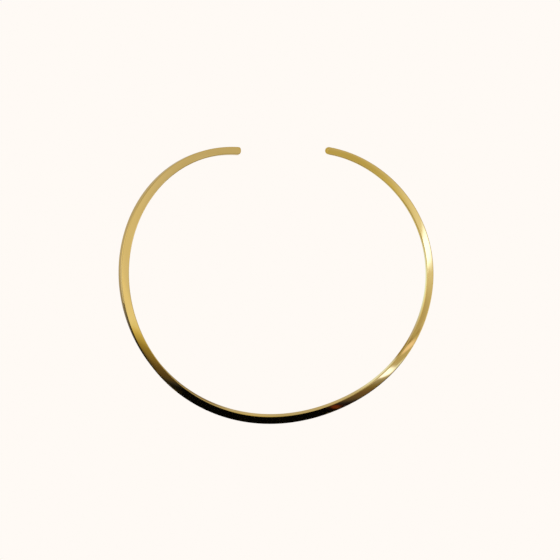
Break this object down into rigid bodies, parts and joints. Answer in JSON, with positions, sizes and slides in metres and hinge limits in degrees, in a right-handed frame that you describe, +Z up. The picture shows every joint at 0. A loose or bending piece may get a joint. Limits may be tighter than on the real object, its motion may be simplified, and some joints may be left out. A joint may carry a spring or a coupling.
{
  "type": "choker",
  "caption": "Rigid open collar choker: one polished gold-coloured bar bent into an oval ring, open at the back with plain rounded ends.",
  "frame": {"origin": "middle of the choker's footprint, on the surface that it lies on", "axes": "+Z up from that surface, -Y towards the front of the neck, +Y towards the open gap at the back, +X across the ring"},
  "size_m": [0.1358, 0.1136, 0.0033],
  "materials": {
    "polished_gold": "mirror polished, yellow gold plated"
  },
  "bodies": {
    "root": {"collar": "polished_gold"}
  },
  "joints": []
}
